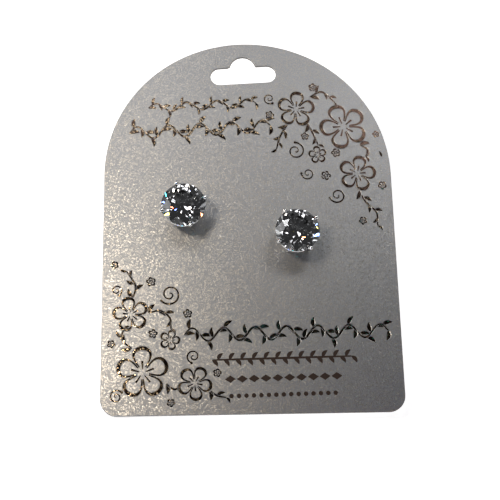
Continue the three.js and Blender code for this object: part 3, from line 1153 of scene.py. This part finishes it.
PETAL_STEPS, STAMEN_STEPS, LEAF_STEPS, DOT_STEPS, LOZENGE_STEPS = 22, 4, 10, 10, 8
PETAL_SPREAD = math.radians(31)
PETAL_FOOT = 0.26
PETAL_PEN, PETAL_SWELL = 0.36, 0.5
STAMEN_FOOT, STAMEN_LENGTH = 0.14, 0.34
STAMEN_PEN, STAMEN_SWELL = 0.22, 0.26
LEAF_BOW = 0.13
LEAF_PEN, LEAF_SWELL = 0.05, 0.42
LOZENGE_PEN, LOZENGE_SWELL = 0.04, 0.66
DOT_RADIUS = 0.5
DOT_MARGIN = 0.02


def petal_stroke():
    """Out along one side of the petal, round its end and back along the other."""
    points = []
    for s in shares(PETAL_STEPS):
        out = PETAL_FOOT + (1 - PETAL_FOOT) * swell(s, 0.55)
        lean = -PETAL_SPREAD * math.cos(math.pi * s)
        points.append((out * math.cos(lean), out * math.sin(lean), PETAL_PEN + PETAL_SWELL * swell(s, 2)))
    return points


def stamen_stroke():
    steps = shares(STAMEN_STEPS)
    return [(STAMEN_FOOT + STAMEN_LENGTH * s, 0, STAMEN_PEN + STAMEN_SWELL * s) for s in steps]


def leaf_stroke():
    steps = shares(LEAF_STEPS)
    return [(s, LEAF_BOW * swell(s), LEAF_PEN + LEAF_SWELL * swell(s ** 0.85, 0.9)) for s in steps]


def dot_stroke():
    along = [-DOT_RADIUS * math.cos(math.pi * s) for s in shares(DOT_STEPS)]
    return [(x, 0, 2 * math.sqrt(DOT_RADIUS ** 2 - x ** 2) + DOT_MARGIN) for x in along]


def lozenge_stroke():
    steps = shares(LOZENGE_STEPS)
    return [(s - 0.5, 0, LOZENGE_PEN + LOZENGE_SWELL * (1 - abs(2 * s - 1))) for s in steps]


petal = pen_paths("petal", [petal_stroke()])
stamen = pen_paths("stamen", [stamen_stroke()])
leaf = pen_paths("leaf", [leaf_stroke()])
dot = pen_paths("dot", [dot_stroke()])
lozenge = pen_paths("lozenge", [lozenge_stroke()])

# %% The tree that repeats a motif along a path
MOTIF_INPUTS = {"Motif": "Object", "Spacing": 1.0, "Size": 1.0, "Lean": 0.0, "Shrink": 0.0}


def repeat_nodes():
    tree, given, result = new_group(
        "Repeat along", "GeometryNodeTree",
        {"Path": "Geometry", **MOTIF_INPUTS},
        {"Strokes": "Geometry"},
    )
    along = tree.nodes.new("GeometryNodeSplineParameter").outputs["Factor"]
    path = store(tree, given["Path"], "along", along)
    spaced = {"Curve": path, "Length": given["Spacing"]}
    points = add(tree, "GeometryNodeCurveToPoints", spaced, mode="LENGTH").outputs
    lost = calculate(tree, "MULTIPLY", recall(tree, "along"), given["Shrink"])
    size = calculate(tree, "MULTIPLY", given["Size"], calculate(tree, "SUBTRACT", 1.0, lost))
    sized = store(tree, points["Points"], "size", size)
    heading = add(tree, "ShaderNodeSeparateXYZ", {0: points["Tangent"]}).outputs
    course = calculate(tree, "ARCTAN2", heading["Y"], heading["X"])
    parity = calculate(tree, "MODULO", tree.nodes.new("GeometryNodeInputIndex").outputs[0], 2.0)
    side = calculate(tree, "MULTIPLY_ADD", parity, 2.0, -1.0)
    angle = calculate(tree, "MULTIPLY_ADD", side, given["Lean"], course)
    motif = shape_of(tree, given["Motif"])
    placed = place_copies(tree, sized, motif, turn_about_z(tree, angle), recall(tree, "size"))
    tree.links.new(set_pen(tree, realize(tree, placed), recall(tree, "size")), result["Strokes"])
    return tree


repeat_tree = repeat_nodes()

# %% The tree that stamps a path and what grows along it
def stamp(tree, given, strokes, result):
    """Ends a tree: realizes the strokes, stamps them, and sends them out."""
    wires = {name: given[name] for name in STAMP_INPUTS}
    lines = add(tree, "GeometryNodeGroup", {"Strokes": realize(tree, strokes), **wires}, node_tree=stamp_tree)
    tree.links.new(lines.outputs[0], result)


def spray_nodes():
    tree, given, result = new_group(
        "Spray", "GeometryNodeTree",
        {"Path": "Geometry", "Show Path": True, **MOTIF_INPUTS, **STAMP_INPUTS},
        {"Lines": "Geometry"},
    )
    wires = {name: given[name] for name in ("Path", *MOTIF_INPUTS)}
    motifs = add(tree, "GeometryNodeGroup", wires, node_tree=repeat_tree).outputs[0]
    shown = add(tree, "GeometryNodeSwitch", {"Switch": given["Show Path"], "True": given["Path"]},
                input_type="GEOMETRY").outputs[0]
    both = add(tree, "GeometryNodeJoinGeometry")
    tree.links.new(motifs, both.inputs[0])
    tree.links.new(shown, both.inputs[0])
    stamp(tree, given, both.outputs[0], result["Lines"])
    return tree


spray_tree = spray_nodes()

# %% The tree that stamps blossoms
SMALL_BLOSSOM = 1.0
LARGE_BLOSSOM = 4.0


def blossom_nodes():
    """Petals and stamens round a centre, repeated on every centre. A small blossom has a finer pen."""
    tree, given, result = new_group(
        "Blossoms", "GeometryNodeTree",
        {"Centres": "Geometry", "Petals": 5, "Petal": "Object", "Stamen": "Object", "Finest Pen": 0.45,
         **STAMP_INPUTS},
        {"Lines": "Geometry"},
    )
    axis = add(tree, "GeometryNodeMeshLine", {"Count": given["Petals"], "Offset": (0, 0, 0)}).outputs[0]
    number = tree.nodes.new("GeometryNodeInputIndex").outputs[0]
    share = calculate(tree, "DIVIDE", number, given["Petals"])
    turn = turn_about_z(tree, calculate(tree, "MULTIPLY", share, 2 * math.pi))
    whole = add(tree, "GeometryNodeJoinGeometry")
    for name in ("Petal", "Stamen"):
        tree.links.new(place_copies(tree, axis, shape_of(tree, given[name]), turn), whole.inputs[0])
    size = recall(tree, "size")
    spin = turn_about_z(tree, recall(tree, "spin"))
    real = realize(tree, place_copies(tree, given["Centres"], whole.outputs[0], spin, size))
    finer = add(tree, "ShaderNodeMapRange", {
        "Value": size, "From Min": SMALL_BLOSSOM, "From Max": LARGE_BLOSSOM,
        "To Min": given["Finest Pen"], "To Max": 1.0})
    stamp(tree, given, set_pen(tree, real, finer.outputs[0]), result["Lines"])
    return tree


blossom_tree = blossom_nodes()

# %% Where the blossoms are
face_to_row = card_to_row @ Matrix.Translation((0, 0, CARD_THICKNESS))
FOIL = {"Section": line_section, "Foil": bronze_foil, "Pearl": pearl_card}
INK = {"Section": ink_section, "Foil": brown_ink, "Pearl": brown_ink}
BLOSSOMS = [
    {"x": 9.4, "y": 58.2, "size": 3.4, "spin": 12},
    {"x": 18.4, "y": 54.6, "size": 4.3, "spin": 40},
    {"x": 20.6, "y": 45.0, "size": 3.3, "spin": 5},
    {"x": 13.2, "y": 48.8, "size": 1.6, "spin": 25},
    {"x": -19.6, "y": 7.6, "size": 4.4, "spin": 20},
    {"x": -10.4, "y": 5.6, "size": 2.9, "spin": 60},
    {"x": -21.8, "y": 18.2, "size": 3.0, "spin": 30},
    {"x": -14.8, "y": 13.4, "size": 1.7, "spin": 0},
]
FLORETS = [
    (4.3, 57.0, 0.7), (10.9, 52.6, 0.65), (16.7, 49.2, 0.75), (25.2, 42.6, 0.7), (14.6, 44.6, 0.8),
    (12.8, 62.8, 0.7), (24.6, 53.0, 0.55), (21.2, 35.6, 0.65), (-25.2, 12.8, 0.6), (-17.8, 14.6, 0.7),
    (-18.2, 24.2, 0.75), (-24.8, 27.4, 0.6), (-14.6, 2.2, 0.6), (-6.4, 7.4, 0.65), (-11.6, 18.2, 0.7),
]
FLORET_SPIN = 17
for number, (x, y, size) in enumerate(FLORETS):
    BLOSSOMS.append({"x": x, "y": y, "size": size, "spin": FLORET_SPIN * number})


def blossom_centres():
    """A point for each blossom, with its size and its spin."""
    mesh = bpy.data.meshes.new("centres")
    mesh.from_pydata([(b["x"], b["y"], 0) for b in BLOSSOMS], [], [])
    facts = {"size": [b["size"] for b in BLOSSOMS], "spin": [math.radians(b["spin"]) for b in BLOSSOMS]}
    for name in facts:
        mesh.attributes.new(name, "FLOAT", "POINT")
    for name, values in facts.items():
        mesh.attributes[name].data.foreach_set("value", values)
    return mesh


mesh = run_nodes(blossom_tree, blossom_centres(), Petal=petal, Stamen=stamen, **FOIL)
finish("foil_blossoms", mesh, face_to_row)

# %% Stems through given points, and coiled tendrils
SPLINE_STEPS = 10
THIN_END = 0.55
COIL_STEPS = 26
COIL_EYE = 0.12
COIL_THINNING = 0.35


def smooth_path(points, pen):
    """A smooth stroke through points: a Catmull-Rom curve whose pen swells between thin ends."""
    ends = [2 * Vector(points[0]) - Vector(points[1]), 2 * Vector(points[-1]) - Vector(points[-2])]
    knots = [ends[0], *[Vector(p) for p in points], ends[1]]
    places = []
    for a, b, c, d in zip(knots, knots[1:], knots[2:], knots[3:]):
        for i in range(SPLINE_STEPS):
            t = i / SPLINE_STEPS
            places.append(0.5 * (2 * b + (c - a) * t + (2 * a - 5 * b + 4 * c - d) * t ** 2
                                 + (3 * b - a - 3 * c + d) * t ** 3))
    places.append(knots[-2])
    last = len(places) - 1
    widths = [pen * (THIN_END + (1 - THIN_END) * swell(i / last, 0.7)) for i in range(len(places))]
    return [(p.x, p.y, width) for p, width in zip(places, widths)]


def coil(x, y, radius, turns, start, pen):
    """A tendril that winds into its centre from an angle in degrees. Negative turns are clockwise."""
    points = []
    for s in shares(round(COIL_STEPS * abs(turns))):
        angle = math.radians(start) + 2 * math.pi * turns * s
        out = radius * (1 - s) ** 0.8 + COIL_EYE
        width = pen * (1 - COIL_THINNING * s)
        points.append((x + out * math.cos(angle), y + out * math.sin(angle), width))
    return points


STEMS = [
    [(11.6, 55.2), (12.6, 52.8), (13.4, 50.8)],
    [(12.2, 60.8), (14.6, 61.8), (17.0, 59.6)],
    [(21.4, 50.8), (22.8, 49.8), (22.4, 48.4)],
    [(20.8, 41.6), (21.8, 39.4), (23.8, 37.2), (23.9, 34.6)],
    [(7.6, 54.9), (6.2, 52.6), (5.4, 50.0)],
    [(-21.6, 12.0), (-23.4, 13.6), (-23.0, 15.4)],
    [(-21.4, 21.3), (-21.0, 23.4), (-22.6, 26.2)],
    [(-15.4, 5.6), (-14.2, 4.6), (-13.2, 4.8)],
    [(-7.8, 4.4), (-6.6, 3.4), (-4.9, 3.0)],
    [(-18.6, 18.4), (-16.4, 18.8), (-14.8, 17.4), (-14.6, 15.4)],
]
COILS = [
    (9.0, 49.6, 1.6, -1.5, 90, 0.4),
    (16.6, 40.6, 1.4, 1.5, 200, 0.38),
    (11.2, 45.0, 1.1, 1.4, 180, 0.34),
    (4.3, 60.4, 1.0, -1.4, 300, 0.34),
    (-24.2, 3.4, 1.1, 1.5, 40, 0.36),
    (-14.8, 21.8, 1.8, 1.6, 220, 0.42),
    (-10.6, 10.4, 1.1, -1.4, 250, 0.34),
    (-24.4, 22.6, 0.9, 1.4, 300, 0.34),
]
STEM_PEN = 0.46
PAST_THE_END = 50.0

# %% Stamp the stems and the tendrils
stems = pen_paths("stems", [smooth_path(points, STEM_PEN) for points in STEMS])
mesh = run_nodes(spray_tree, stems.data, Motif=leaf, Spacing=1.35, Size=1.9, Lean=0.75, Shrink=0.35, **FOIL)
finish("foil_sprays", mesh, face_to_row)

# A spacing past a stroke's end leaves one dot, at its start.
START_DOT = {"Motif": dot, "Spacing": PAST_THE_END, "Lean": 0.0, "Shrink": 0.0}
coils = pen_paths("coils", [coil(*c) for c in COILS])
mesh = run_nodes(spray_tree, coils.data, Size=0.6, **START_DOT, **FOIL)
finish("foil_tendrils", mesh, face_to_row)

# %% Six rules across the card
WAVE_STEPS = 24
WAVE_THIN_END = 0.6
HIDDEN_PEN = 0.1


def wave(x, y, length, height, waves, tilt, pen):
    """A running wave, centred at a point and tilted by an angle in degrees."""
    turn = Matrix.Rotation(math.radians(tilt), 2)
    points = []
    for s in shares(round(WAVE_STEPS * waves)):
        p = turn @ Vector(((s - 0.5) * length, 0.5 * height * math.sin(2 * math.pi * waves * s)))
        width = pen * (WAVE_THIN_END + (1 - WAVE_THIN_END) * swell(s, 0.5))
        points.append((x + p.x, y + p.y, width))
    return points


LEAFY = {"motif": leaf, "spacing": 1.35, "size": 1.9, "lean": 0.85}
RULES = [
    {"name": "foil_rule_1", "look": FOIL, "x": -8.6, "y": 59.0, "long": 20.5, "high": 1.7, "waves": 3.5,
     "tilt": 3.2, "pen": 0.46, "motif": leaf, "spacing": 1.1, "size": 1.5, "lean": 0.8},
    {"name": "foil_rule_2", "look": FOIL, "x": -9.0, "y": 54.0, "long": 26.8, "high": 2.5, "waves": 4.5,
     "tilt": 3.3, "pen": 0.52, **LEAFY},
    {"name": "foil_rule_3", "look": FOIL, "x": 6.2, "y": 14.5, "long": 36.8, "high": 2.4, "waves": 6.5,
     "tilt": 0.6, "pen": 0.52, **LEAFY},
    {"name": "ink_rule_4", "look": INK, "x": 5.2, "y": 9.9, "long": 25.0, "high": 0.0, "waves": 3.0,
     "tilt": 0.9, "pen": 0.4, "motif": leaf, "spacing": 1.0, "size": 1.5, "lean": 0.9},
    {"name": "ink_rule_5", "look": INK, "x": 5.4, "y": 6.4, "long": 19.0, "high": 0.0, "waves": 2.0,
     "tilt": 1.0, "pen": HIDDEN_PEN, "motif": lozenge, "spacing": 2.1, "size": 1.9, "lean": 0.0},
    {"name": "ink_rule_6", "look": INK, "x": 5.3, "y": 3.4, "long": 18.5, "high": 0.0, "waves": 2.0,
     "tilt": 1.0, "pen": HIDDEN_PEN, "motif": dot, "spacing": 1.3, "size": 0.8, "lean": 0.0},
]
for rule in RULES:
    stroke = wave(*[rule[part] for part in ("x", "y", "long", "high", "waves", "tilt", "pen")])
    path = pen_paths("rule", [stroke])
    repeats = {part.capitalize(): rule[part] for part in ("motif", "spacing", "size", "lean")}
    mesh = run_nodes(spray_tree, path.data, Show_Path=rule["pen"] > HIDDEN_PEN, Shrink=0.0, **repeats,
                     **rule["look"])
    finish(rule["name"], mesh, face_to_row)
    bpy.data.objects.remove(path)

# %% A small dark mark near the card's right edge
MARK = [(25.0, 49.5, 0.12), (25.2, 49.15, 0.4), (25.35, 48.8, 0.48), (25.45, 48.4, 0.2)]
mark = pen_paths("mark", [MARK])
mesh = run_nodes(spray_tree, mark.data, Size=0.1, **START_DOT, **INK)
finish("small_mark", mesh, face_to_row)

# %% Put the drawing tools away
for helper in (line_section, ink_section, petal, stamen, leaf, dot, lozenge, stems, coils, mark):
    bpy.data.objects.remove(helper)

# %% [markdown]
# ## The floor
#
# The studio's floor is a plain pale board. It isn't part of the object, so it stays out of the card's body.

# %% Lay the floor
FLOOR_HALF = 0.8
FLOOR_GLOW = 0.6


def floor_material():
    """A pale board that glows a little, so that it reads as white."""
    material, tree, shader, place = new_material("pale board", Roughness=0.9, Emission_Strength=FLOOR_GLOW,
                                                 Emission_Color=(1, 1, 1, 1))
    fibre = shared(tree, fibre_group, place, Fibre_Size=0.002, Light=(0.98, 0.98, 0.98, 1),
                   Dark=(0.95, 0.95, 0.95, 1))
    tree.links.new(fibre["Color"], shader["Base Color"])
    return material


floor_mesh = bpy.data.meshes.new("floor")
corners = [(x * FLOOR_HALF, y * FLOOR_HALF, 0) for x, y in ((-1, -1), (1, -1), (1, 1), (-1, 1))]
floor_mesh.from_pydata(corners, [], [(0, 1, 2, 3)])
floor_mesh.materials.append(floor_material())
floor = bpy.data.objects.new("floor", floor_mesh)
scene.collection.objects.link(floor)
